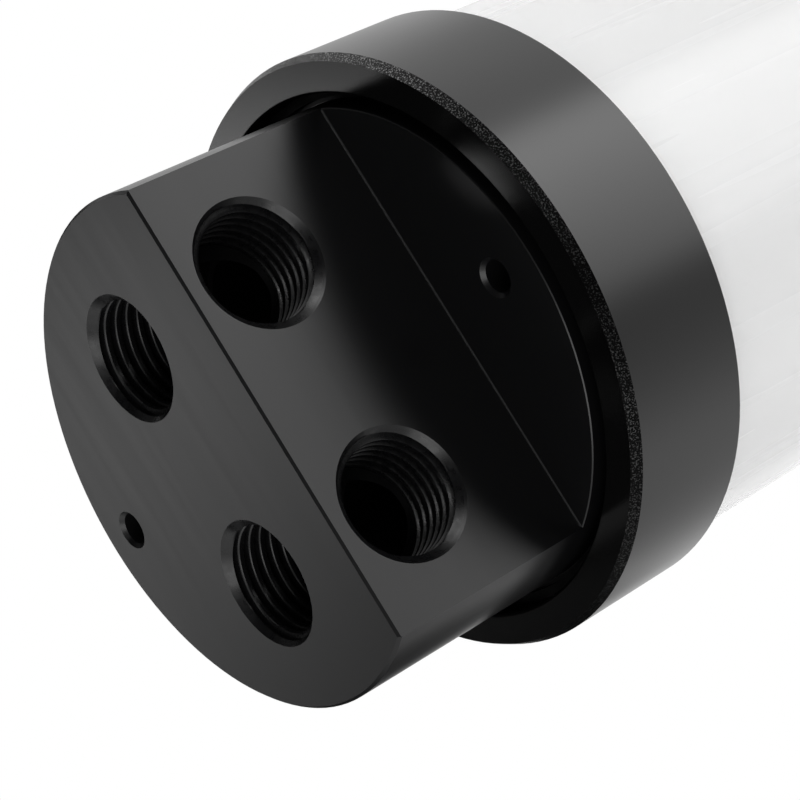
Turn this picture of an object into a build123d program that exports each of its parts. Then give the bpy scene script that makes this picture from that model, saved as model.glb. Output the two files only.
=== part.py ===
from build123d import *
import os

# Tube reservoir for a liquid cooling loop, in millimetres. The axis is Z, the
# origin is the centre of the bottom end face, and the milled flat faces -Y.

# Tube
tube_outer_diameter = 60.0
tube_wall = 3.0
tube_length = 160.0
tube_end_chamfer = 0.4

# Screw thread between each collar and its end of the tube
collar_thread_depth = 0.9
collar_thread_clearance = 0.1
tube_shoulder_cover = 1.0

# Collars, the same part at both ends
collar_wall = 1.65
collar_length = 15.2
collar_lip = 2.5
collar_chamfer_radial = 0.55
collar_chamfer_axial = 1.1
collar_mouth_depth = 1.6
collar_mouth_clearance = 0.3
collar_rear_chamfer = 0.3
collar_edge_break = 0.25

# Port block and the features it shares with the top cap
flange_clearance = 0.1
flange_step = 2.5
block_to_collar_gap = 1.45
flat_distance = 11.4
land_height = 24.0
flange_thickness = 4.0
spigot_length = 8.0
spigot_clearance = 0.15
spigot_lead = 0.8
chord_chamfer = 0.25
rim_chamfer = 0.3
land_chamfer = 0.1
milling_corner = 0.2

# Rings stacked between collar, flange and tube
slip_ring_thickness = 1.0
slip_ring_inner_clearance = 0.5
gasket_thickness = 1.0
gasket_edge_clearance = 0.1
running_gap = 0.05

# Spigot seal in its groove
spigot_seal_cord = 2.0
spigot_seal_set_back = 2.0
seal_groove_width = 2.6
seal_fit_gap = 0.03

# Threaded ports, G1/4: the bores are cut to the thread's major diameter
port_thread_major = 13.157
port_thread_minor = 11.445
port_thread_length = 8.6
side_port_mouth = 13.6
end_port_mouth = 13.3
port_spacing = 25.3
side_port_height = 8.5
end_port_offset = 3.8
port_drill_reach = 0.4
channel_diameter = 10.0

# Mounting holes, M4, tapped into a drilled wall
fixing_drill = 3.3
fixing_mouth = 4.1
fixing_depth = 10.0
land_fixing_edge = 6.1
end_fixing_edge = 5.4

# Plugs in the top cap and the screwed fitting of the riser
port_seal_cord = 1.6
port_seal_proud = 0.2
port_seal_margin = 0.2
plug_shank_length = 8.5
plug_shank_chamfer = 0.6
plug_neck_recess = 0.15
fill_plug_diameter = 21.0
fill_plug_height = 9.0
vent_plug_diameter = 18.0
vent_plug_height = 4.5
plug_edge_chamfer = 0.5
grip_flute_radius = 1.1
grip_flute_depth = 0.7
fill_plug_flutes = 20
coin_slot_width = 1.8
coin_slot_depth = 2.0
hex_key_across = 6.0
hex_key_depth = 3.0

# Riser pipe on the return channel
riser_diameter = 12.0
riser_wall = 1.5
riser_top_gap = 40.0
riser_socket_depth = 8.0
riser_fitting_across = 17.0
riser_fitting_height = 11.0
riser_shank_length = 7.5
riser_seat_depth = 8.5
riser_bore = 8.0
riser_seal_cord = 1.5
riser_seal_height = 4.0
riser_clearance = 0.05

# Vortex breaker in the outlet channel
vane_thickness = 1.2
vane_span = 20.0
vane_height = 10.0
vane_root_depth = 8.0
vane_corner_radius = 3.0
vane_clearance = 0.05

# Radii worked out from the sizes above
tube_radius = tube_outer_diameter / 2
tube_bore_radius = tube_radius - tube_wall
tube_thread_root = tube_radius - collar_thread_depth
collar_thread_root = tube_radius + collar_thread_clearance
collar_radius = collar_thread_root + collar_wall
collar_mouth_radius = tube_radius + collar_mouth_clearance
flange_radius = tube_thread_root - flange_clearance
block_radius = flange_radius - flange_step
collar_bore_radius = block_radius + block_to_collar_gap
spigot_radius = tube_bore_radius - spigot_clearance
seal_ring_radius = tube_bore_radius - seal_fit_gap - spigot_seal_cord / 2
seal_groove_radius = seal_ring_radius - spigot_seal_cord / 2 - seal_fit_gap
port_radius = port_thread_major / 2
drill_radius = port_thread_minor / 2
channel_radius = channel_diameter / 2
port_seal_radius = port_radius + port_seal_margin + port_seal_cord / 2
port_x = port_spacing / 2
land_fixing_offset = block_radius - land_fixing_edge
end_fixing_offset = block_radius - end_fixing_edge

# Stack of the end pieces, measured inwards from the collar's outer face
slip_ring_start = collar_lip + running_gap
flange_start = slip_ring_start + slip_ring_thickness + running_gap
flange_end = flange_start + flange_thickness
tube_start = flange_end + gasket_thickness
tube_thread_length = collar_length - tube_start - tube_shoulder_cover
spigot_end = flange_end + spigot_length
seal_centre = spigot_end - spigot_seal_set_back - seal_groove_width / 2

# Heights of the two collar faces, the tube and the floor inside it
bottom_face = land_height
tube_bottom = bottom_face + tube_start
tube_top = tube_bottom + tube_length
top_face = tube_top + tube_start
floor_height = bottom_face + spigot_end
side_drill_depth = flat_distance + end_port_offset
end_drill_depth = side_port_height + drill_radius + port_drill_reach

os.makedirs("parts", exist_ok=True)


def end_piece_outline(outer_end, face, inward):
    """Half section of an end piece: body, flange and grooved spigot."""
    groove_near = seal_centre - seal_groove_width / 2
    groove_far = seal_centre + seal_groove_width / 2
    steps = [
        (block_radius, flange_start),
        (flange_radius, flange_start),
        (flange_radius, flange_end),
        (spigot_radius, flange_end),
        (spigot_radius, groove_near),
        (seal_groove_radius, groove_near),
        (seal_groove_radius, groove_far),
        (spigot_radius, groove_far),
        (spigot_radius, spigot_end - spigot_lead),
        (spigot_radius - spigot_lead, spigot_end),
        (0, spigot_end),
    ]
    outline = [(radius, face + inward * height) for radius, height in steps]
    rim = [(block_radius - rim_chamfer, outer_end), (block_radius, outer_end + inward * rim_chamfer)]
    return [(0, outer_end)] + rim + outline


def collar_outline(face, inward):
    """Half section of a collar, from its chamfered face to its open mouth."""
    steps = [
        (collar_bore_radius, collar_edge_break),
        (collar_bore_radius + collar_edge_break, 0),
        (collar_radius - collar_chamfer_radial, 0),
        (collar_radius, collar_chamfer_axial),
        (collar_radius, collar_length - collar_rear_chamfer),
        (collar_radius - collar_rear_chamfer, collar_length),
        (collar_mouth_radius, collar_length),
        (collar_mouth_radius, collar_length - collar_mouth_depth),
        (collar_thread_root, collar_length - collar_mouth_depth),
        (collar_thread_root, collar_lip),
        (collar_bore_radius, collar_lip),
    ]
    return [(radius, face + inward * height) for radius, height in steps]


def ring_outline(inner, outer, start, end):
    """Half section of a plain flat ring."""
    return [(inner, start), (outer, start), (outer, end), (inner, end)]


# Port block: turned body with a milled flat, four ports and two fixings
with BuildPart() as port_block:
    with BuildSketch(Plane.XZ) as block_section:
        with BuildLine():
            Polyline(*end_piece_outline(0, bottom_face, 1), close=True)
        make_face()
    revolve(axis=Axis.Z)

    # The flat runs from a chamfered edge up to the D-shaped land, with the cutter's corner radius
    with BuildSketch(Plane.YZ) as flat_cut:
        with BuildLine():
            Polyline(
                (-2 * block_radius, 0),
                (chord_chamfer - flat_distance, 0),
                (-flat_distance, chord_chamfer),
                (-flat_distance, land_height),
                (-2 * block_radius, land_height),
                close=True,
            )
        make_face()
    extrude(amount=2 * block_radius, both=True, mode=Mode.SUBTRACT)
    land = port_block.faces().filter_by(Axis.Z).group_by(Axis.Z)[1].sort_by(Axis.Y)[0]
    chamfer(land.edges().filter_by(GeomType.CIRCLE), land_chamfer)
    corner = port_block.edges().filter_by(Axis.X).sort_by_distance((0, -flat_distance, land_height))[0]
    fillet(corner, milling_corner)

    # Side ports on the flat, each drilled on into the end port's bore
    for x in (-port_x, port_x):
        with Locations(Plane((x, -flat_distance, side_port_height), x_dir=(1, 0, 0), z_dir=(0, -1, 0))):
            CounterSinkHole(port_radius, side_port_mouth / 2, port_thread_length, 90)
            Hole(drill_radius, side_drill_depth)

    # End ports, then the channels that lead up to the floor of the tube
    for x in (-port_x, port_x):
        with Locations(Plane((x, end_port_offset, 0), x_dir=(1, 0, 0), z_dir=(0, 0, -1))):
            CounterSinkHole(port_radius, end_port_mouth / 2, port_thread_length, 90)
            Hole(drill_radius, end_drill_depth)
            Hole(channel_radius, floor_height)

    # Seat of the riser fitting, tapped down from the floor
    with Locations((-port_x, end_port_offset, floor_height)):
        Hole(port_radius, riser_seat_depth)

    # Fixings: one in the land, one in the end face on the other side
    with Locations(Plane((0, -land_fixing_offset, land_height), x_dir=(1, 0, 0), z_dir=(0, 0, -1))):
        CounterSinkHole(fixing_drill / 2, fixing_mouth / 2, fixing_depth, 90)
    with Locations(Plane((0, end_fixing_offset, 0), x_dir=(1, 0, 0), z_dir=(0, 0, -1))):
        CounterSinkHole(fixing_drill / 2, fixing_mouth / 2, fixing_depth, 90)
port_block.part.label = "port_block"
export_step(port_block.part, "parts/port_block.step")

# Tube with both ends turned down to the root of the collar thread
with BuildPart() as reservoir_tube:
    with BuildSketch(Plane.XZ) as tube_section:
        with BuildLine():
            Polyline(
                (tube_bore_radius, tube_bottom),
                (tube_thread_root - tube_end_chamfer, tube_bottom),
                (tube_thread_root, tube_bottom + tube_end_chamfer),
                (tube_thread_root, tube_bottom + tube_thread_length),
                (tube_radius, tube_bottom + tube_thread_length),
                (tube_radius, tube_top - tube_thread_length),
                (tube_thread_root, tube_top - tube_thread_length),
                (tube_thread_root, tube_top - tube_end_chamfer),
                (tube_thread_root - tube_end_chamfer, tube_top),
                (tube_bore_radius, tube_top),
                close=True,
            )
        make_face()
    revolve(axis=Axis.Z)
reservoir_tube.part.label = "reservoir_tube"
export_step(reservoir_tube.part, "parts/reservoir_tube.step")

# Collar, slip ring, gasket and spigot seal, once at each end
for end, face, inward in (("bottom", bottom_face, 1), ("top", top_face, -1)):
    with BuildPart() as collar:
        with BuildSketch(Plane.XZ) as collar_section:
            with BuildLine():
                Polyline(*collar_outline(face, inward), close=True)
            make_face()
        revolve(axis=Axis.Z)
    collar.part.label = f"{end}_collar"
    export_step(collar.part, f"parts/{end}_collar.step")

    with BuildPart() as slip_ring:
        with BuildSketch(Plane.XZ) as slip_section:
            with BuildLine():
                inner = block_radius + slip_ring_inner_clearance
                start = face + inward * slip_ring_start
                end_height = start + inward * slip_ring_thickness
                Polyline(*ring_outline(inner, flange_radius, start, end_height), close=True)
            make_face()
        revolve(axis=Axis.Z)
    slip_ring.part.label = f"{end}_slip_ring"
    export_step(slip_ring.part, f"parts/{end}_slip_ring.step")

    with BuildPart() as gasket:
        with BuildSketch(Plane.XZ) as gasket_section:
            with BuildLine():
                inner = tube_bore_radius + gasket_edge_clearance
                outer = flange_radius - gasket_edge_clearance
                start = face + inward * flange_end
                Polyline(*ring_outline(inner, outer, start, face + inward * tube_start), close=True)
            make_face()
        revolve(axis=Axis.Z)
    gasket.part.label = f"{end}_gasket"
    export_step(gasket.part, f"parts/{end}_gasket.step")

    with BuildPart() as spigot_seal:
        with BuildSketch(Plane.XZ) as seal_section:
            with Locations((seal_ring_radius, face + inward * seal_centre)):
                Circle(spigot_seal_cord / 2)
        revolve(axis=Axis.Z)
    spigot_seal.part.label = f"{end}_spigot_seal"
    export_step(spigot_seal.part, f"parts/{end}_spigot_seal.step")

# Top cap: same flange and spigot, flush with its collar, with two ports
with BuildPart() as top_cap:
    with BuildSketch(Plane.XZ) as cap_section:
        with BuildLine():
            Polyline(*end_piece_outline(top_face, top_face, -1), close=True)
        make_face()
    revolve(axis=Axis.Z)
    with Locations((-port_x, 0, top_face), (port_x, 0, top_face)):
        CounterSinkHole(port_radius, end_port_mouth / 2, port_thread_length, 90)
        Hole(drill_radius, spigot_end)
top_cap.part.label = "top_cap"
export_step(top_cap.part, "parts/top_cap.step")

# Plugs of the fill port and the vent port, each on its own seal
plugs = (
    ("fill", -port_x, fill_plug_diameter, fill_plug_height),
    ("vent", port_x, vent_plug_diameter, vent_plug_height),
)
for name, x, head_diameter, head_height in plugs:
    head_start = top_face + port_seal_proud
    head_end = head_start + head_height
    with BuildPart() as plug:
        # Head, fluted for the fingers on the fill plug
        with BuildSketch(Plane.XY.offset(head_start)) as head_outline:
            with Locations((x, 0)):
                Circle(head_diameter / 2)
        extrude(amount=head_height)
        chamfer(plug.edges().group_by(Axis.Z)[-1], plug_edge_chamfer)
        if name == "fill":
            with BuildSketch(Plane.XY.offset(head_start)) as flutes:
                with Locations((x, 0)):
                    reach = head_diameter / 2 + grip_flute_radius - grip_flute_depth
                    with PolarLocations(reach, fill_plug_flutes):
                        Circle(grip_flute_radius)
            extrude(amount=head_height, mode=Mode.SUBTRACT)

        # Seal groove under the head
        with BuildSketch(Plane.XY.offset(head_start)) as seal_groove:
            with Locations((x, 0)):
                Circle(port_seal_radius + port_seal_cord / 2 + seal_fit_gap)
                Circle(port_seal_radius - port_seal_cord / 2 - seal_fit_gap, mode=Mode.SUBTRACT)
        extrude(amount=port_seal_cord - port_seal_proud + seal_fit_gap, mode=Mode.SUBTRACT)

        # Shank at the root of the thread, with a chamfered tip
        with BuildSketch(Plane.XY.offset(head_start)) as shank:
            with Locations((x, 0)):
                Circle(drill_radius - plug_neck_recess)
        extrude(amount=-plug_shank_length)
        chamfer(plug.edges().group_by(Axis.Z)[0], plug_shank_chamfer)

        # Drive: a coin slot in the fill plug, a hexagon in the vent plug
        if name == "fill":
            with BuildSketch(Plane.XY.offset(head_end)) as slot:
                with Locations((x, 0)):
                    Rectangle(coin_slot_width, head_diameter)
            extrude(amount=-coin_slot_depth, mode=Mode.SUBTRACT)
        else:
            with BuildSketch(Plane.XY.offset(head_end)) as hexagon:
                with Locations((x, 0)):
                    RegularPolygon(hex_key_across / 2, 6, major_radius=False)
            extrude(amount=-hex_key_depth, mode=Mode.SUBTRACT)
    plug.part.label = f"{name}_plug"
    export_step(plug.part, f"parts/{name}_plug.step")

    with BuildPart() as plug_seal:
        with BuildSketch(Plane.XZ) as plug_seal_section:
            with Locations((x + port_seal_radius, top_face + port_seal_cord / 2)):
                Circle(port_seal_cord / 2)
        revolve(axis=Axis((x, 0, 0), (0, 0, 1)))
    plug_seal.part.label = f"{name}_plug_seal"
    export_step(plug_seal.part, f"parts/{name}_plug_seal.step")

# Riser fitting: hexagon head and threaded shank, bored for pipe and flow
fitting_head = floor_height + port_seal_proud
socket_floor = fitting_head + riser_fitting_height - riser_socket_depth
pipe_radius = riser_diameter / 2
seal_height = socket_floor + riser_seal_height
with BuildPart() as riser_fitting:
    with BuildSketch(Plane.XY.offset(fitting_head)) as fitting_hexagon:
        with Locations((-port_x, end_port_offset)):
            RegularPolygon(riser_fitting_across / 2, 6, major_radius=False)
    extrude(amount=riser_fitting_height)
    with BuildSketch(Plane.XY.offset(fitting_head)) as fitting_groove:
        with Locations((-port_x, end_port_offset)):
            Circle(port_seal_radius + port_seal_cord / 2 + seal_fit_gap)
            Circle(port_seal_radius - port_seal_cord / 2 - seal_fit_gap, mode=Mode.SUBTRACT)
    extrude(amount=port_seal_cord - port_seal_proud + seal_fit_gap, mode=Mode.SUBTRACT)
    with BuildSketch(Plane.XY.offset(fitting_head)) as fitting_shank:
        with Locations((-port_x, end_port_offset)):
            Circle(drill_radius - plug_neck_recess)
    extrude(amount=-riser_shank_length)
    with Locations((-port_x, end_port_offset, fitting_head + riser_fitting_height)):
        Hole(pipe_radius + riser_clearance, riser_socket_depth)
        Hole(riser_bore / 2, riser_fitting_height + riser_shank_length)
    groove_reach = pipe_radius + riser_seal_cord
    groove_width = riser_seal_cord + 2 * seal_fit_gap
    with BuildSketch(Plane.XY.offset(seal_height - groove_width / 2)) as pipe_groove:
        with Locations((-port_x, end_port_offset)):
            Circle(groove_reach + 2 * seal_fit_gap)
    extrude(amount=groove_width, mode=Mode.SUBTRACT)
riser_fitting.part.label = "riser_fitting"
export_step(riser_fitting.part, "parts/riser_fitting.step")

with BuildPart() as riser_fitting_seal:
    with BuildSketch(Plane.XZ.offset(-end_port_offset)) as fitting_seal_section:
        with Locations((port_seal_radius - port_x, floor_height + port_seal_cord / 2)):
            Circle(port_seal_cord / 2)
    revolve(axis=Axis((-port_x, end_port_offset, 0), (0, 0, 1)))
riser_fitting_seal.part.label = "riser_fitting_seal"
export_step(riser_fitting_seal.part, "parts/riser_fitting_seal.step")

with BuildPart() as riser_pipe:
    with BuildSketch(Plane.XY.offset(socket_floor)) as pipe_section:
        with Locations((-port_x, end_port_offset)):
            Circle(pipe_radius)
            Circle(pipe_radius - riser_wall, mode=Mode.SUBTRACT)
    extrude(amount=tube_top - riser_top_gap - socket_floor)
riser_pipe.part.label = "riser_pipe"
export_step(riser_pipe.part, "parts/riser_pipe.step")

with BuildPart() as riser_pipe_seal:
    with BuildSketch(Plane.XZ.offset(-end_port_offset)) as pipe_seal_section:
        with Locations((pipe_radius + seal_fit_gap + riser_seal_cord / 2 - port_x, seal_height)):
            Circle(riser_seal_cord / 2)
    revolve(axis=Axis((-port_x, end_port_offset, 0), (0, 0, 1)))
riser_pipe_seal.part.label = "riser_pipe_seal"
export_step(riser_pipe_seal.part, "parts/riser_pipe_seal.step")

# Vortex breaker: crossed vanes above the outlet, with roots in its channel
with BuildPart() as vortex_breaker:
    for plane in (Plane.XZ.offset(-end_port_offset), Plane.YZ.offset(port_x)):
        centre = port_x if plane.z_dir.X == 0 else end_port_offset
        with BuildSketch(plane) as vane:
            with Locations((centre, floor_height)):
                Rectangle(vane_span, vane_height, align=(Align.CENTER, Align.MIN))
            fillet(vane.vertices().group_by(Axis.Y)[-1], vane_corner_radius)
            with Locations((centre, floor_height)):
                root_span = channel_diameter - 2 * vane_clearance
                Rectangle(root_span, vane_root_depth, align=(Align.CENTER, Align.MAX))
        extrude(amount=vane_thickness / 2, both=True)
vortex_breaker.part.label = "vortex_breaker"
export_step(vortex_breaker.part, "parts/vortex_breaker.step")
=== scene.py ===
import bmesh
import bpy
import math
from mathutils import Matrix, Vector


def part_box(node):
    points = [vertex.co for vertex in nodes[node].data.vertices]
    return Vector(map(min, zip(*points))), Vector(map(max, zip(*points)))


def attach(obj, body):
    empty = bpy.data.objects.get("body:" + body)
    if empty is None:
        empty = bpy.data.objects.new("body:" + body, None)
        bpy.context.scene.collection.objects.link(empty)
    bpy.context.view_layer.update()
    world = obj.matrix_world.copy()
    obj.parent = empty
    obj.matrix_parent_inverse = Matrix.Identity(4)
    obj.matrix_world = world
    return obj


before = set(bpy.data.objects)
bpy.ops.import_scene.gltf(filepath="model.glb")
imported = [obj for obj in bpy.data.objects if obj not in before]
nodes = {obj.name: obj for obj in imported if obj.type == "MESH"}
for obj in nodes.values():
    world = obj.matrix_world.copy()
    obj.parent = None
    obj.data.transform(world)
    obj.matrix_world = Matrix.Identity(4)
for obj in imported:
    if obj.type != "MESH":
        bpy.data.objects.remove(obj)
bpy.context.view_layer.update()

# Sizes are in millimetres and angles in degrees
MM = 0.001

# Camera: it looks up at the base from below and in front
CAMERA_EYE = (27.3, -200.1, -119.4)
CAMERA_TARGET = (4.9, -11.4, 13.8)
CAMERA_ROLL = 62.15
CAMERA_LENS = 111.6
CAMERA_SENSOR = 36.0
CAMERA_CLIP = 10.0

# Finishes on block and collars, with painted shade. A flange loses its reflection between two distances
# beyond the block's radius, as painted shade in the gap inside the collar, and a collar's bore keeps almost
# no reflection, as painted shade, until two distances beyond it. A slope is the height of the normal
BLOCK_RADIUS = 26.5
FLANGE_SHADE_FADE = (0.03, 0.1)
COLLAR_BORE = 27.95
BORE_SHADE_FADE = (0.1, 0.4)
BEVEL_SLOPE = 0.45
BEVEL_SPREAD = 0.2

# Female port threads, G1/4, in bores cut to the major diameter
PORT_PITCH = 1.337
PORT_RADIUS = 6.5785
PORT_THREAD_HEIGHT = 0.856
PORT_THREAD_LENGTH = 8.55
DRILL_RADIUS = PORT_RADIUS - PORT_THREAD_HEIGHT
SIDE_MOUTH_RADIUS = 6.8
END_MOUTH_RADIUS = 6.65
PORT_X = 12.65
SIDE_PORT_HEIGHT = 8.5
END_PORT_OFFSET = 3.8
FLAT_DISTANCE = 11.4

# Male threads of the plugs and the riser fitting
SHANK_CLEARANCE = 0.15
SHANK_RADIUS = DRILL_RADIUS - SHANK_CLEARANCE
SHANK_THREAD_HEIGHT = 0.82
SHANK_TIP_RADIUS = 5.0
PLUG_THREAD_LENGTH = 7.2
RISER_THREAD_LENGTH = 6.2

# Thread between each collar and its end of the tube
COLLAR_PITCH = 1.5
TUBE_THREAD_ROOT = 29.1
TUBE_THREAD_HEIGHT = 0.85
TUBE_THREAD_LENGTH = 5.5
TUBE_END_RADIUS = 28.8
COLLAR_THREAD_ROOT = 30.1
COLLAR_THREAD_HEIGHT = 0.9
COLLAR_THREAD_LENGTH = 8.8
COLLAR_MOUTH_RADIUS = 30.2
COLLAR_MOUTH_DEPTH = 1.6

# Thread meshes: how far a sleeve reaches into its wall, the flat part of its roots and crests as a
# share of the pitch, and how fine it is
SLEEVE_ROOT = 0.02
ROOT_FLAT = 0.05
TAPPED_CREST = 0.34
CUT_CREST = 0.12
PORT_SEGMENTS = 96
COLLAR_SEGMENTS = 192
ROWS_PER_TURN = 16
MERGE_DISTANCE = 0.001
SHARP_ANGLE = 50.0

# The studio: its floor, and how bright the white room is
FLOOR_HEIGHT = -600.0
FLOOR_SIZE = 500.0
ROOM_LEVEL = 1.3

# Patches of the room that are brighter or darker: the direction, the angle where the patch is full, the
# angle where it ends, and its change in brightness, where -1 is black
SOFT_BOX = ((-0.18, -0.75, 0.64), 22, 30, 2.96)
CAMERA_SIDE = ((0.35, -0.82, -0.45), 55, 84, -0.47)
RIGHT_FRONT = ((0.07, -0.25, 0.97), 25, 52, -0.45)
RIGHT_LOW = ((0.6, -0.43, -0.67), 19, 24, 3.36)
RIGHT_WALL = ((0.88, 0.45, 0.15), 10, 48, -0.7)
UPPER_BACK = ((0.48, 0.86, 0.16), 26, 30, -0.98)
LOWER_BACK = ((0.17, 0.75, -0.64), 16, 20, -0.98)
LEFT_BACK = ((-0.49, 0.85, 0.18), 23, 43, -0.37)
LOW_GLOW = ((-0.21, 0.85, -0.48), 8, 13, 1.3)
DARK_LOW = ((-0.43, -0.21, -0.88), 36, 43, -0.98)
LEFT_LOW = ((-0.71, 0.26, -0.65), 40, 45, -0.98)
HORIZON = ((-0.32, 0.95, -0.05), 23, 27, -0.98)
DARK_FRONT = ((0.31, -0.95, 0.03), 30, 34, -0.98)
LEFT_SIDE = ((-0.9, 0.18, -0.4), 27, 43, 2.58)
LEFT_TOP = ((-0.49, 0.19, 0.85), 7, 26, -0.5)
DARK_EDGE = ((-0.36, -0.93, 0.04), 18, 30, -0.8)
ROOM_PATCHES = (SOFT_BOX, CAMERA_SIDE, RIGHT_FRONT, RIGHT_LOW, RIGHT_WALL, UPPER_BACK, LOWER_BACK,
                LEFT_BACK, LOW_GLOW, DARK_LOW, LEFT_LOW, HORIZON, DARK_FRONT, LEFT_SIDE, LEFT_TOP,
                DARK_EDGE)

# A lamp beside the camera: direction, the same two angles, and its brightness
LEFT_LAMP = ((-0.32, -0.92, -0.22), 2, 6, 9.0)


def linear(hex_colour):
    """An sRGB hex colour as linear red, green, blue and alpha."""
    channels = [int(hex_colour[i:i + 2], 16) / 255 for i in (1, 3, 5)]
    return tuple(c / 12.92 if c <= 0.04045 else ((c + 0.055) / 1.055) ** 2.4 for c in channels) + (1.0,)


def add(tree, kind, inputs=None, **settings):
    """Adds a node, sets its properties, and fills its inputs with values or links."""
    node = tree.nodes.new(kind)
    for name, value in settings.items():
        setattr(node, name, value)
    for name, value in (inputs or {}).items():
        if isinstance(value, bpy.types.Node):
            value = value.outputs[0]
        if isinstance(value, bpy.types.NodeSocket):
            tree.links.new(value, node.inputs[name])
        else:
            node.inputs[name].default_value = value
    return node


def finish_material(name, base, roughness, ior=1.5, **principled):
    """A new material: returns the material, its tree, its shader and the Object coordinates."""
    material = bpy.data.materials.new(name)
    material.use_nodes = True
    tree = material.node_tree
    shader = tree.nodes["Principled BSDF"]
    shader.inputs["Base Color"].default_value = linear(base)
    shader.inputs["Roughness"].default_value = roughness
    shader.inputs["IOR"].default_value = ior
    for socket, value in principled.items():
        shader.inputs[socket.replace("_", " ")].default_value = value
    place = add(tree, "ShaderNodeTexCoord").outputs["Object"]
    return material, tree, shader, place


def stretched_noise(tree, place, cells_per_mm):
    """Noise whose cells per millimetre are set along each axis, so that it can draw tool lines."""
    spread = add(tree, "ShaderNodeMapping", {"Vector": place, "Scale": [c / MM for c in cells_per_mm]})
    return add(tree, "ShaderNodeTexNoise", {"Vector": spread, "Scale": 1.0}).outputs["Fac"]


def ranged(tree, value, low, high, start=0.3, end=0.7):
    """Low where a value is at its start, high where it is at its end, and even between them."""
    spread = {"Value": value, "From Min": start, "From Max": end, "To Min": low, "To Max": high}
    return add(tree, "ShaderNodeMapRange", spread).outputs["Result"]


def beyond_radius(tree, place, radius):
    """How many millimetres a point lies beyond a radius from the part's long axis."""
    across = add(tree, "ShaderNodeVectorMath", {0: place, 1: (1.0, 1.0, 0.0)}, operation="MULTIPLY")
    distance = add(tree, "ShaderNodeVectorMath", {0: across}, operation="LENGTH").outputs["Value"]
    return add(tree, "ShaderNodeMath", {0: distance, 1: 1 / MM, 2: -radius}, operation="MULTIPLY_ADD")


def acetal_machined():
    """Black acetal, turned and milled: a satin sheen with fine tool lines along the chord of the block.

    The flanges, which lie beyond the block's radius and inside the collars, keep a tenth of their
    reflection: painted shade for the gap.
    """
    material, tree, shader, place = finish_material("acetal_machined_black", "#0c0c0d", 0.3, ior=1.43)
    # Tool lines 0.2 mm apart, in passes of the cutter 2 mm wide
    fine = stretched_noise(tree, place, (0.02, 5.0, 5.0))
    passes = stretched_noise(tree, place, (0.03, 0.5, 0.5))
    lines = add(tree, "ShaderNodeBump", {"Height": fine, "Strength": 0.3, "Distance": 0.002 * MM})
    flange = beyond_radius(tree, place, BLOCK_RADIUS)
    # Painted shade: beyond the block's radius the reflection falls to a tenth, so the flanges look shaded
    # inside the collars
    tree.links.new(ranged(tree, flange, 0.5, 0.05, *FLANGE_SHADE_FADE), shader.inputs["Specular IOR Level"])
    tree.links.new(ranged(tree, passes, 0.3, 0.32), shader.inputs["Roughness"])
    tree.links.new(lines.outputs["Normal"], shader.inputs["Normal"])
    return material


def acetal_tapped():
    """Black acetal where a tap has cut it: shinier than the turned faces, with faint chatter."""
    material, tree, shader, place = finish_material("acetal_tapped_black", "#0c0c0d", 0.28, ior=1.42)
    # Chatter marks 0.8 mm long, as a hand tap leaves them
    chatter = stretched_noise(tree, place, (1.2, 1.2, 1.2))
    tree.links.new(ranged(tree, chatter, 0.22, 0.36), shader.inputs["Roughness"])
    return material


def aluminium_blasted():
    """Aluminium, bead blasted and anodised black: even and satin, under a dyed oxide that hides the metal.

    The bevels catch the light in bright grains. The end faces are a little smoother, and their reflection
    is lowered as painted shade;
    in the bores the reflection is nearly cut out, as painted shade in the gap.
    """
    material, tree, shader, place = finish_material("aluminium_blasted_black", "#050505", 0.28, ior=1.5)
    # Real pits are about 0.05 mm wide and too fine to show, so the grains are drawn 0.15 mm wide
    grain = stretched_noise(tree, place, (6.5, 6.5, 6.5))
    facing = add(tree, "ShaderNodeSeparateXYZ", {0: add(tree, "ShaderNodeTexCoord").outputs["Normal"]})
    # The slope is 0 on the outer wall and 1 on an end face, with the bevel's in between
    slope = add(tree, "ShaderNodeMath", {0: facing.outputs["Z"]}, operation="ABSOLUTE")
    bevel = add(tree, "ShaderNodeMath", {0: slope, 1: BEVEL_SLOPE, 2: BEVEL_SPREAD}, operation="COMPARE")
    # Grains stand 0.008 mm high, and 0.08 mm higher on a bevel
    depth = add(tree, "ShaderNodeMath", {0: bevel, 1: 0.08 * MM, 2: 0.008 * MM}, operation="MULTIPLY_ADD")
    bumps = add(tree, "ShaderNodeBump", {"Height": grain, "Strength": 0.5, "Distance": depth})
    # Painted shade: the reflection is nearly cut out in the bore and lowered on the end faces, so both look
    # shaded
    bore_shade = ranged(tree, beyond_radius(tree, place, COLLAR_BORE), 0.05, 1.0, *BORE_SHADE_FADE)
    faces = ranged(tree, slope, 0.5, 0.4, start=0.8, end=0.95)
    plain = add(tree, "ShaderNodeMath", {0: bore_shade, 1: faces}, operation="MULTIPLY")
    grains = ranged(tree, grain, 0.05, 0.8, start=0.54, end=0.64)
    shine = add(tree, "ShaderNodeMix", {"Factor": bevel, "A": plain, "B": grains})
    tree.links.new(shine.outputs["Result"], shader.inputs["Specular IOR Level"])
    tree.links.new(ranged(tree, slope, 0.28, 0.15, start=0.5, end=0.9), shader.inputs["Roughness"])
    tree.links.new(bumps.outputs["Normal"], shader.inputs["Normal"])
    return material


def aluminium_turned():
    """Aluminium, turned and anodised black: fine rings round the plugs and a slightly tighter shine."""
    material, tree, shader, place = finish_material("aluminium_turned_black", "#0a0a0b", 0.26, ior=1.5)
    # Rings 0.12 mm apart, the feed of a fine turning cut
    rings = stretched_noise(tree, place, (0.3, 0.3, 8.0))
    bumps = add(tree, "ShaderNodeBump", {"Height": rings, "Strength": 0.3, "Distance": 0.003 * MM})
    tree.links.new(bumps.outputs["Normal"], shader.inputs["Normal"])
    return material


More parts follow.
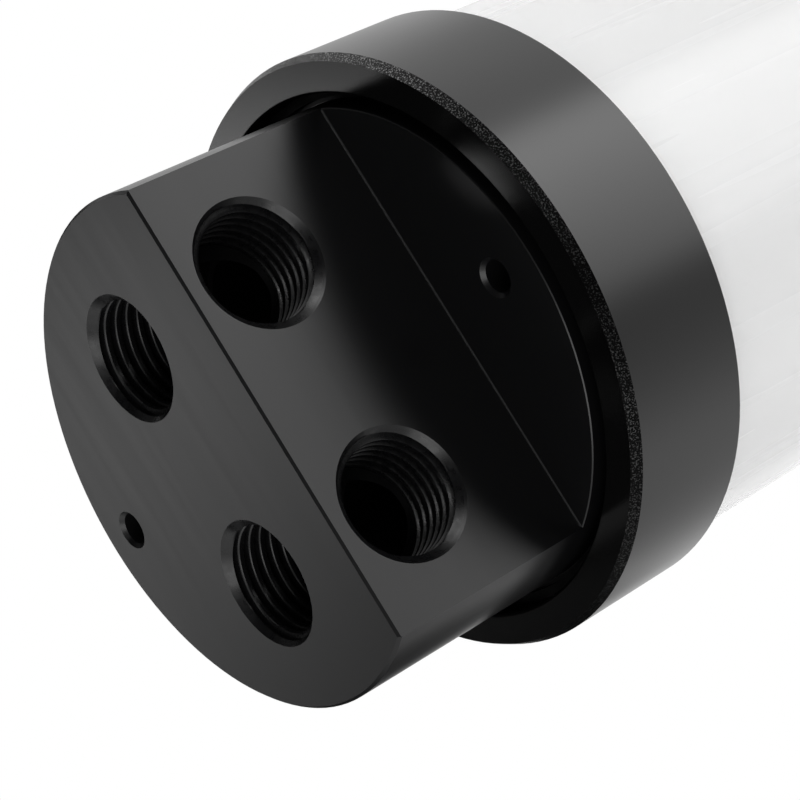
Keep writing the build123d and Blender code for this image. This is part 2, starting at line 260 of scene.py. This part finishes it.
def acrylic_opal():
    """Opal white acrylic, extruded: milky and satin, with very soft draw lines along the tube."""
    material, tree, shader, place = finish_material(
        "acrylic_opal_white", "#fafafa", 0.25, ior=1.49, Subsurface_Weight=0.8, Subsurface_Scale=1.0)
    shader.inputs["Subsurface Radius"].default_value = (6 * MM, 6 * MM, 6 * MM)
    # Real draw lines are finer than a hair, so these are drawn 3 mm wide to show at all
    drawn = stretched_noise(tree, place, (0.35, 0.35, 0.004))
    tree.links.new(ranged(tree, drawn, 0.22, 0.3), shader.inputs["Roughness"])
    return material


def acrylic_clear():
    """Clear acrylic, extruded: smooth and glossy, with faint draw lines along the pipe."""
    material, tree, shader, place = finish_material(
        "acrylic_extruded_clear", "#eef3f3", 0.06, ior=1.49, Transmission_Weight=0.9)
    # Draw lines, also coarser than the real ones: 2 mm wide
    drawn = stretched_noise(tree, place, (0.5, 0.5, 0.01))
    tree.links.new(ranged(tree, drawn, 0.04, 0.1), shader.inputs["Roughness"])
    return material


def ptfe_skived():
    """Carbon-filled PTFE, skived: waxy, deep black, with faint knife lines."""
    # Painted shade: the IOR is set below solid PTFE's, so the slip rings reflect less in the gap between
    # collar and block
    material, tree, shader, place = finish_material("ptfe_skived_carbon", "#080808", 0.6, ior=1.15)
    # Knife lines 0.3 mm apart
    skive = stretched_noise(tree, place, (0.4, 0.4, 3.0))
    tree.links.new(ranged(tree, skive, 0.55, 0.7), shader.inputs["Roughness"])
    return material


def epdm_moulded():
    """Black EPDM rubber, moulded: dull, with a slight bloom."""
    material, tree, shader, place = finish_material("epdm_moulded_black", "#151515", 0.6, ior=1.5)
    # Blotches of bloom 1.7 mm wide
    bloom = stretched_noise(tree, place, (0.6, 0.6, 0.6))
    tree.links.new(ranged(tree, bloom, 0.52, 0.7), shader.inputs["Roughness"])
    return material


ACETAL = acetal_machined()
TAPPED = acetal_tapped()
BLASTED = aluminium_blasted()
TURNED = aluminium_turned()
OPAL = acrylic_opal()
CLEAR = acrylic_clear()
PTFE = ptfe_skived()
EPDM = epdm_moulded()

NODE_FINISHES = {
    "port_block": ACETAL,
    "top_cap": ACETAL,
    "riser_fitting": ACETAL,
    "vortex_breaker": ACETAL,
    "bottom_collar": BLASTED,
    "top_collar": BLASTED,
    "fill_plug": TURNED,
    "vent_plug": TURNED,
    "reservoir_tube": OPAL,
    "riser_pipe": CLEAR,
    "bottom_slip_ring": PTFE,
    "top_slip_ring": PTFE,
}
# Gaskets and O-rings, which aren't listed, are rubber
for name, node in nodes.items():
    node.data.materials.clear()
    node.data.materials.append(NODE_FINISHES.get(name, EPDM))


def sleeve_tree():
    """A threaded sleeve: one closed wall whose free side follows the turns of a screw thread.

    A grid is rolled up. Its columns go round the axis and its rows follow the helix, so that every
    crest and root lies on a row. The last rows close the wall at the back.
    """
    tree = bpy.data.node_groups.new("thread_sleeve", "GeometryNodeTree")
    for name, kind in (
        ("Wall Radius", "NodeSocketFloat"), ("Height", "NodeSocketFloat"), ("Pitch", "NodeSocketFloat"),
        ("Length", "NodeSocketFloat"), ("Mouth Radius", "NodeSocketFloat"), ("Sense", "NodeSocketFloat"),
        ("Phase", "NodeSocketFloat"), ("Root", "NodeSocketFloat"), ("Crest", "NodeSocketFloat"),
        ("Merge", "NodeSocketFloat"), ("Segments", "NodeSocketInt"), ("Rows Per Turn", "NodeSocketInt"),
        ("Material", "NodeSocketMaterial"),
    ):
        tree.interface.new_socket(name, in_out="INPUT", socket_type=kind)
    tree.interface.new_socket("Geometry", in_out="OUTPUT", socket_type="NodeSocketGeometry")
    size = add(tree, "NodeGroupInput").outputs

    def calc(operation, *values):
        """One step of arithmetic on links or numbers."""
        return add(tree, "ShaderNodeMath", dict(enumerate(values)), operation=operation).outputs[0]

    def choose(condition, if_false, if_true):
        """One of two numbers."""
        picks = {"Switch": condition, "False": if_false, "True": if_true}
        return add(tree, "GeometryNodeSwitch", picks, input_type="FLOAT").outputs[0]

    # Rows: enough for the length and one turn more, then three that close the wall
    turns = calc("ADD", calc("DIVIDE", size["Length"], size["Pitch"]), 1.0)
    rows = calc("ADD", calc("CEIL", calc("MULTIPLY", turns, size["Rows Per Turn"])), 2.0)
    last = calc("ADD", rows, 2.0)
    grid = add(tree, "GeometryNodeMeshGrid", {
        "Size X": 1.0, "Size Y": 1.0,
        "Vertices X": calc("ADD", size["Segments"], 1.0), "Vertices Y": calc("ADD", last, 1.0),
    })
    place = add(tree, "ShaderNodeSeparateXYZ", {0: add(tree, "GeometryNodeInputPosition")}).outputs
    around = calc("ADD", place["X"], 0.5)
    row = calc("ROUND", calc("MULTIPLY", calc("ADD", place["Y"], 0.5), last))

    # Depth along the axis: rows climb with the helix and are held between the two ends. The halves put
    # each limit between two whole rows
    climb = calc("SUBTRACT", calc("ADD", calc("DIVIDE", row, size["Rows Per Turn"]), around), 1.0)
    held = calc("MINIMUM", calc("MAXIMUM", calc("MULTIPLY", climb, size["Pitch"]), 0.0), size["Length"])
    closing = calc("SUBTRACT", row, calc("SUBTRACT", rows, 0.5))
    at_back = calc("SUBTRACT", row, calc("ADD", rows, 0.5))
    depth = choose(calc("GREATER_THAN", closing, 0.0), held, size["Length"])
    depth = choose(calc("GREATER_THAN", at_back, 0.0), depth, 0.0)

    # Radius: a rounded ridge, cut back by the cone of the mouth or tip
    phase = calc("FRACT", calc("ADD", calc("SUBTRACT", calc("DIVIDE", depth, size["Pitch"]), around),
                               size["Phase"]))
    slope = calc("SUBTRACT", 1.0, calc("ABSOLUTE", calc("SUBTRACT", calc("MULTIPLY", phase, 2.0), 1.0)))
    ridge = add(tree, "ShaderNodeMapRange", {
        "Value": slope, "From Min": ROOT_FLAT, "From Max": calc("SUBTRACT", 1.0, size["Crest"]),
    }, interpolation_type="SMOOTHSTEP").outputs["Result"]
    rise = calc("MULTIPLY", calc("MULTIPLY", size["Height"], ridge), size["Sense"])
    cone = calc("ADD", calc("MULTIPLY", size["Sense"], size["Mouth Radius"]), depth)
    free = calc("MINIMUM", calc("MULTIPLY", calc("ADD", size["Wall Radius"], rise), size["Sense"]), cone)
    free = calc("MULTIPLY", free, size["Sense"])
    back = calc("SUBTRACT", size["Wall Radius"], calc("MULTIPLY", size["Root"], size["Sense"]))
    on_back = calc("LESS_THAN", calc("ABSOLUTE", at_back), 1.0)
    radius = choose(on_back, free, back)

    angle = calc("MULTIPLY", around, 2 * math.pi)
    spot = add(tree, "ShaderNodeCombineXYZ", {
        "X": calc("MULTIPLY", radius, calc("COSINE", angle)),
        "Y": calc("MULTIPLY", radius, calc("SINE", angle)), "Z": depth,
    })
    rolled = add(tree, "GeometryNodeSetPosition", {"Geometry": grid, "Position": spot})
    closed = add(tree, "GeometryNodeMergeByDistance", {"Geometry": rolled, "Distance": size["Merge"]})
    real = add(tree, "GeometryNodeRealizeInstances", {"Geometry": closed})
    done = add(tree, "GeometryNodeSetMaterial", {"Geometry": real, "Material": size["Material"]})
    add(tree, "NodeGroupOutput", {"Geometry": done})
    return tree


SLEEVE = sleeve_tree()


def new_piece(name, mesh):
    """An object at the origin that holds a mesh, linked to the scene."""
    piece = bpy.data.objects.new(name, mesh)
    bpy.context.scene.collection.objects.link(piece)
    return piece


def applied(piece):
    """A plain mesh of the piece with its modifiers, and the piece removed."""
    graph = bpy.context.evaluated_depsgraph_get()
    mesh = bpy.data.meshes.new_from_object(piece.evaluated_get(graph), depsgraph=graph)
    bpy.data.objects.remove(piece)
    return mesh


def tidy_normals(mesh):
    """Outward faces, smooth over the thread's flanks and sharp at the ends."""
    shape = bmesh.new()
    shape.from_mesh(mesh)
    bmesh.ops.recalc_face_normals(shape, faces=shape.faces)
    if shape.calc_volume(signed=True) < 0:
        bmesh.ops.reverse_faces(shape, faces=shape.faces)
    for face in shape.faces:
        face.material_index = 0
    shape.to_mesh(mesh)
    shape.free()
    mesh.shade_smooth()
    mesh.set_sharp_from_angle(angle=math.radians(SHARP_ANGLE))


def thread_mesh(start, axis, wall, height, pitch, length, mouth, female, material, segments):
    """The mesh of one thread, from its free end at start along axis.

    Wall is the radius of the wall that carries it and mouth the radius of the cone at its free end.
    """
    sense = -1.0 if female else 1.0
    # Where the cone of the mouth or tip lies behind the wall, the sleeve starts further in
    skipped = max(0.0, sense * (wall - mouth) - SLEEVE_ROOT)
    axis = Vector(axis)
    start = Vector(start) + axis * skipped
    along = start.dot(axis) / pitch
    # The ridges of a female thread lie half a pitch from those of a male one, so that the two fit
    offset = 0.5 if female else 0.0
    sizes = {
        "Wall Radius": wall * MM, "Height": height * MM, "Pitch": pitch * MM,
        "Length": (length - skipped) * MM, "Mouth Radius": (mouth + sense * skipped) * MM,
        "Sense": sense, "Root": SLEEVE_ROOT * MM, "Crest": TAPPED_CREST if female else CUT_CREST,
        "Phase": (along + offset) % 1.0, "Merge": MERGE_DISTANCE * MM,
        "Segments": segments, "Rows Per Turn": ROWS_PER_TURN, "Material": material,
    }
    seed = new_piece("sleeve_seed", bpy.data.meshes.new("sleeve_seed"))
    roll = seed.modifiers.new("thread", "NODES")
    roll.node_group = SLEEVE
    for socket in SLEEVE.interface.items_tree:
        if socket.in_out == "INPUT":
            roll[socket.identifier] = sizes[socket.name]
    mesh = applied(seed)
    # The local axis is Z: a half turn about X or a quarter turn keeps the hand of the thread
    turn = Matrix.Rotation(math.pi, 4, "X") if axis.z < -0.5 else Matrix.Identity(4)
    if axis.y > 0.5:
        turn = Matrix.Rotation(-math.pi / 2, 4, "X")
    mesh.transform(Matrix.Translation(start * MM) @ turn)
    mesh.materials.clear()
    mesh.materials.append(material)
    tidy_normals(mesh)
    return mesh


def add_thread(name, body, mesh):
    """Adds a finished thread that rides on its body."""
    mesh.name = name
    piece = new_piece(name, mesh)
    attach(piece, body)


def cut_by_drilling(mesh, x):
    """The thread of an end port where the side port's drilling breaks through it."""
    cutter_mesh = bpy.data.meshes.new("drilling")
    shape = bmesh.new()
    reach = (FLAT_DISTANCE + END_PORT_OFFSET) * MM
    turn = Matrix.Rotation(math.pi / 2, 4, "X")
    middle = Vector((x, (END_PORT_OFFSET - FLAT_DISTANCE) / 2, SIDE_PORT_HEIGHT)) * MM
    bmesh.ops.create_cone(shape, cap_ends=True, segments=PORT_SEGMENTS, radius1=DRILL_RADIUS * MM,
                          radius2=DRILL_RADIUS * MM, depth=reach, matrix=Matrix.Translation(middle) @ turn)
    shape.to_mesh(cutter_mesh)
    shape.free()
    cutter = new_piece("drilling", cutter_mesh)
    piece = new_piece("drilled_thread", mesh)
    drill = piece.modifiers.new("drilling", "BOOLEAN")
    drill.operation = "DIFFERENCE"
    drill.solver = "EXACT"
    drill.object = cutter
    drilled = applied(piece)
    bpy.data.objects.remove(cutter)
    tidy_normals(drilled)
    return drilled


def port_threads():
    """Female G1/4 threads: two side ports, two end ports and the two ports of the top cap."""
    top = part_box("top_cap")[1][2] / MM
    port = {"wall": PORT_RADIUS, "height": PORT_THREAD_HEIGHT, "pitch": PORT_PITCH,
            "length": PORT_THREAD_LENGTH, "female": True, "material": TAPPED, "segments": PORT_SEGMENTS}
    for side, x in (("left", -PORT_X), ("right", PORT_X)):
        mesh = thread_mesh((x, -FLAT_DISTANCE, SIDE_PORT_HEIGHT), (0, 1, 0), mouth=SIDE_MOUTH_RADIUS,
                           **port)
        add_thread(f"side_port_thread_{side}", "reservoir", mesh)
        mesh = thread_mesh((x, END_PORT_OFFSET, 0), (0, 0, 1), mouth=END_MOUTH_RADIUS, **port)
        add_thread(f"end_port_thread_{side}", "reservoir", cut_by_drilling(mesh, x))
        mesh = thread_mesh((x, 0, top), (0, 0, -1), mouth=END_MOUTH_RADIUS, **port)
        add_thread(f"cap_port_thread_{side}", "reservoir", mesh)


def shank_threads():
    """Male G1/4 threads of the two plugs and the riser fitting."""
    shank = {"axis": (0, 0, 1), "wall": SHANK_RADIUS, "height": SHANK_THREAD_HEIGHT, "pitch": PORT_PITCH,
             "female": False, "segments": PORT_SEGMENTS}
    for name, x in (("fill_plug", -PORT_X), ("vent_plug", PORT_X)):
        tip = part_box(name)[0][2] / MM
        mesh = thread_mesh((x, 0, tip), length=PLUG_THREAD_LENGTH, mouth=SHANK_TIP_RADIUS, material=TURNED,
                           **shank)
        add_thread(f"{name}_thread", name, mesh)
    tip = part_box("riser_fitting")[0][2] / MM
    mesh = thread_mesh((-PORT_X, END_PORT_OFFSET, tip), length=RISER_THREAD_LENGTH, mouth=SHANK_RADIUS,
                       material=ACETAL, **shank)
    add_thread("riser_fitting_thread", "reservoir", mesh)


def collar_threads():
    """Male threads on both ends of the tube and female threads in both collars."""
    low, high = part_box("reservoir_tube")
    shared = {"pitch": COLLAR_PITCH, "segments": COLLAR_SEGMENTS}
    for end, tube_end, inward in (("bottom", low[2] / MM, 1), ("top", high[2] / MM, -1)):
        mesh = thread_mesh((0, 0, tube_end), (0, 0, inward), wall=TUBE_THREAD_ROOT,
                           height=TUBE_THREAD_HEIGHT, length=TUBE_THREAD_LENGTH,
                           mouth=TUBE_END_RADIUS, female=False, material=OPAL, **shared)
        add_thread(f"tube_thread_{end}", "reservoir", mesh)
        collar_low, collar_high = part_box(f"{end}_collar")
        rear = (collar_high if inward > 0 else collar_low)[2] / MM
        start = rear - inward * COLLAR_MOUTH_DEPTH
        mesh = thread_mesh((0, 0, start), (0, 0, -inward), wall=COLLAR_THREAD_ROOT,
                           height=COLLAR_THREAD_HEIGHT, length=COLLAR_THREAD_LENGTH,
                           mouth=COLLAR_MOUTH_RADIUS, female=True, material=BLASTED, **shared)
        add_thread(f"{end}_collar_thread", f"{end}_collar", mesh)


port_threads()
shank_threads()
collar_threads()


def rays_of(tree, *kinds):
    """1 for rays of any of these kinds, else 0."""
    path = add(tree, "ShaderNodeLightPath")
    seen = path.outputs[kinds[0]]
    for kind in kinds[1:]:
        seen = add(tree, "ShaderNodeMath", {0: seen, 1: path.outputs[kind]}, operation="MAXIMUM").outputs[0]
    return seen


def studio_floor():
    """A plain white floor, far below the part because the camera looks up at its base."""
    mesh = bpy.data.meshes.new("studio_floor")
    half = FLOOR_SIZE / 2 * MM
    corners = [(-half, -half), (half, -half), (half, half), (-half, half)]
    mesh.from_pydata([(x, y, FLOOR_HEIGHT * MM) for x, y in corners], [], [(0, 1, 2, 3)])
    material, tree, shader, _ = finish_material("floor_matt_white", "#fafafa", 0.9)
    white = add(tree, "ShaderNodeEmission", {"Color": linear("#ffffff"), "Strength": 1.0})
    seen = rays_of(tree, "Is Camera Ray", "Is Glossy Ray", "Is Transmission Ray")
    both = add(tree, "ShaderNodeMixShader", {"Fac": seen, 1: shader.outputs[0], 2: white.outputs[0]})
    tree.links.new(both.outputs[0], tree.nodes["Material Output"].inputs["Surface"])
    mesh.materials.append(material)
    floor = new_piece("studio_floor", mesh)


def towards(tree, way, centre, inner, outer):
    """1 for directions within the inner angle of a centre, fading to 0 at the outer angle."""
    facing = add(tree, "ShaderNodeVectorMath", {0: way, 1: Vector(centre).normalized()},
                 operation="DOT_PRODUCT").outputs["Value"]
    limits = {"Value": facing, "From Min": math.cos(math.radians(outer)),
              "From Max": math.cos(math.radians(inner))}
    return add(tree, "ShaderNodeMapRange", limits, interpolation_type="SMOOTHSTEP").outputs["Result"]


def studio_world():
    """A white room with bright and dark patches, and one lamp beside the camera."""
    world = bpy.data.worlds.new("studio_world")
    bpy.context.scene.world = world
    world.use_nodes = True
    tree = world.node_tree
    room = tree.nodes["Background"]
    room.inputs["Color"].default_value = linear("#ffffff")
    way = add(tree, "ShaderNodeTexCoord").outputs["Generated"]
    level = ROOM_LEVEL
    for centre, inner, outer, change in ROOM_PATCHES:
        patch = towards(tree, way, centre, inner, outer)
        factor = add(tree, "ShaderNodeMath", {0: patch, 1: change, 2: 1.0}, operation="MULTIPLY_ADD")
        level = add(tree, "ShaderNodeMath", {0: level, 1: factor}, operation="MULTIPLY")
    *cone, bright = LEFT_LAMP
    lamp = towards(tree, way, *cone)
    level = add(tree, "ShaderNodeMath", {0: lamp, 1: bright, 2: level}, operation="MULTIPLY_ADD")
    tree.links.new(level.outputs[0], room.inputs["Strength"])
    backdrop = add(tree, "ShaderNodeBackground", {"Color": linear("#ffffff"), "Strength": 1.0})
    seen = rays_of(tree, "Is Camera Ray", "Is Transmission Ray")
    both = add(tree, "ShaderNodeMixShader", {"Fac": seen, 1: room.outputs[0], 2: backdrop.outputs[0]})
    tree.links.new(both.outputs[0], tree.nodes["World Output"].inputs["Surface"])


def studio_camera():
    """The camera of the photograph: its eye, its aim and its roll."""
    camera = bpy.data.cameras.new("studio_camera")
    camera.lens = CAMERA_LENS
    camera.sensor_width = CAMERA_SENSOR
    camera.clip_start = CAMERA_CLIP * MM
    holder = bpy.data.objects.new("studio_camera", camera)
    bpy.context.scene.collection.objects.link(holder)
    eye = Vector(CAMERA_EYE) * MM
    aim = Vector(CAMERA_TARGET) * MM - eye
    look = aim.to_track_quat("-Z", "Y").to_matrix().to_4x4()
    roll = Matrix.Rotation(math.radians(CAMERA_ROLL), 4, "Z")
    holder.matrix_world = Matrix.Translation(eye) @ look @ roll
    bpy.context.scene.camera = holder


studio_floor()
studio_world()
studio_camera()
bpy.context.scene.view_settings.view_transform = "Standard"
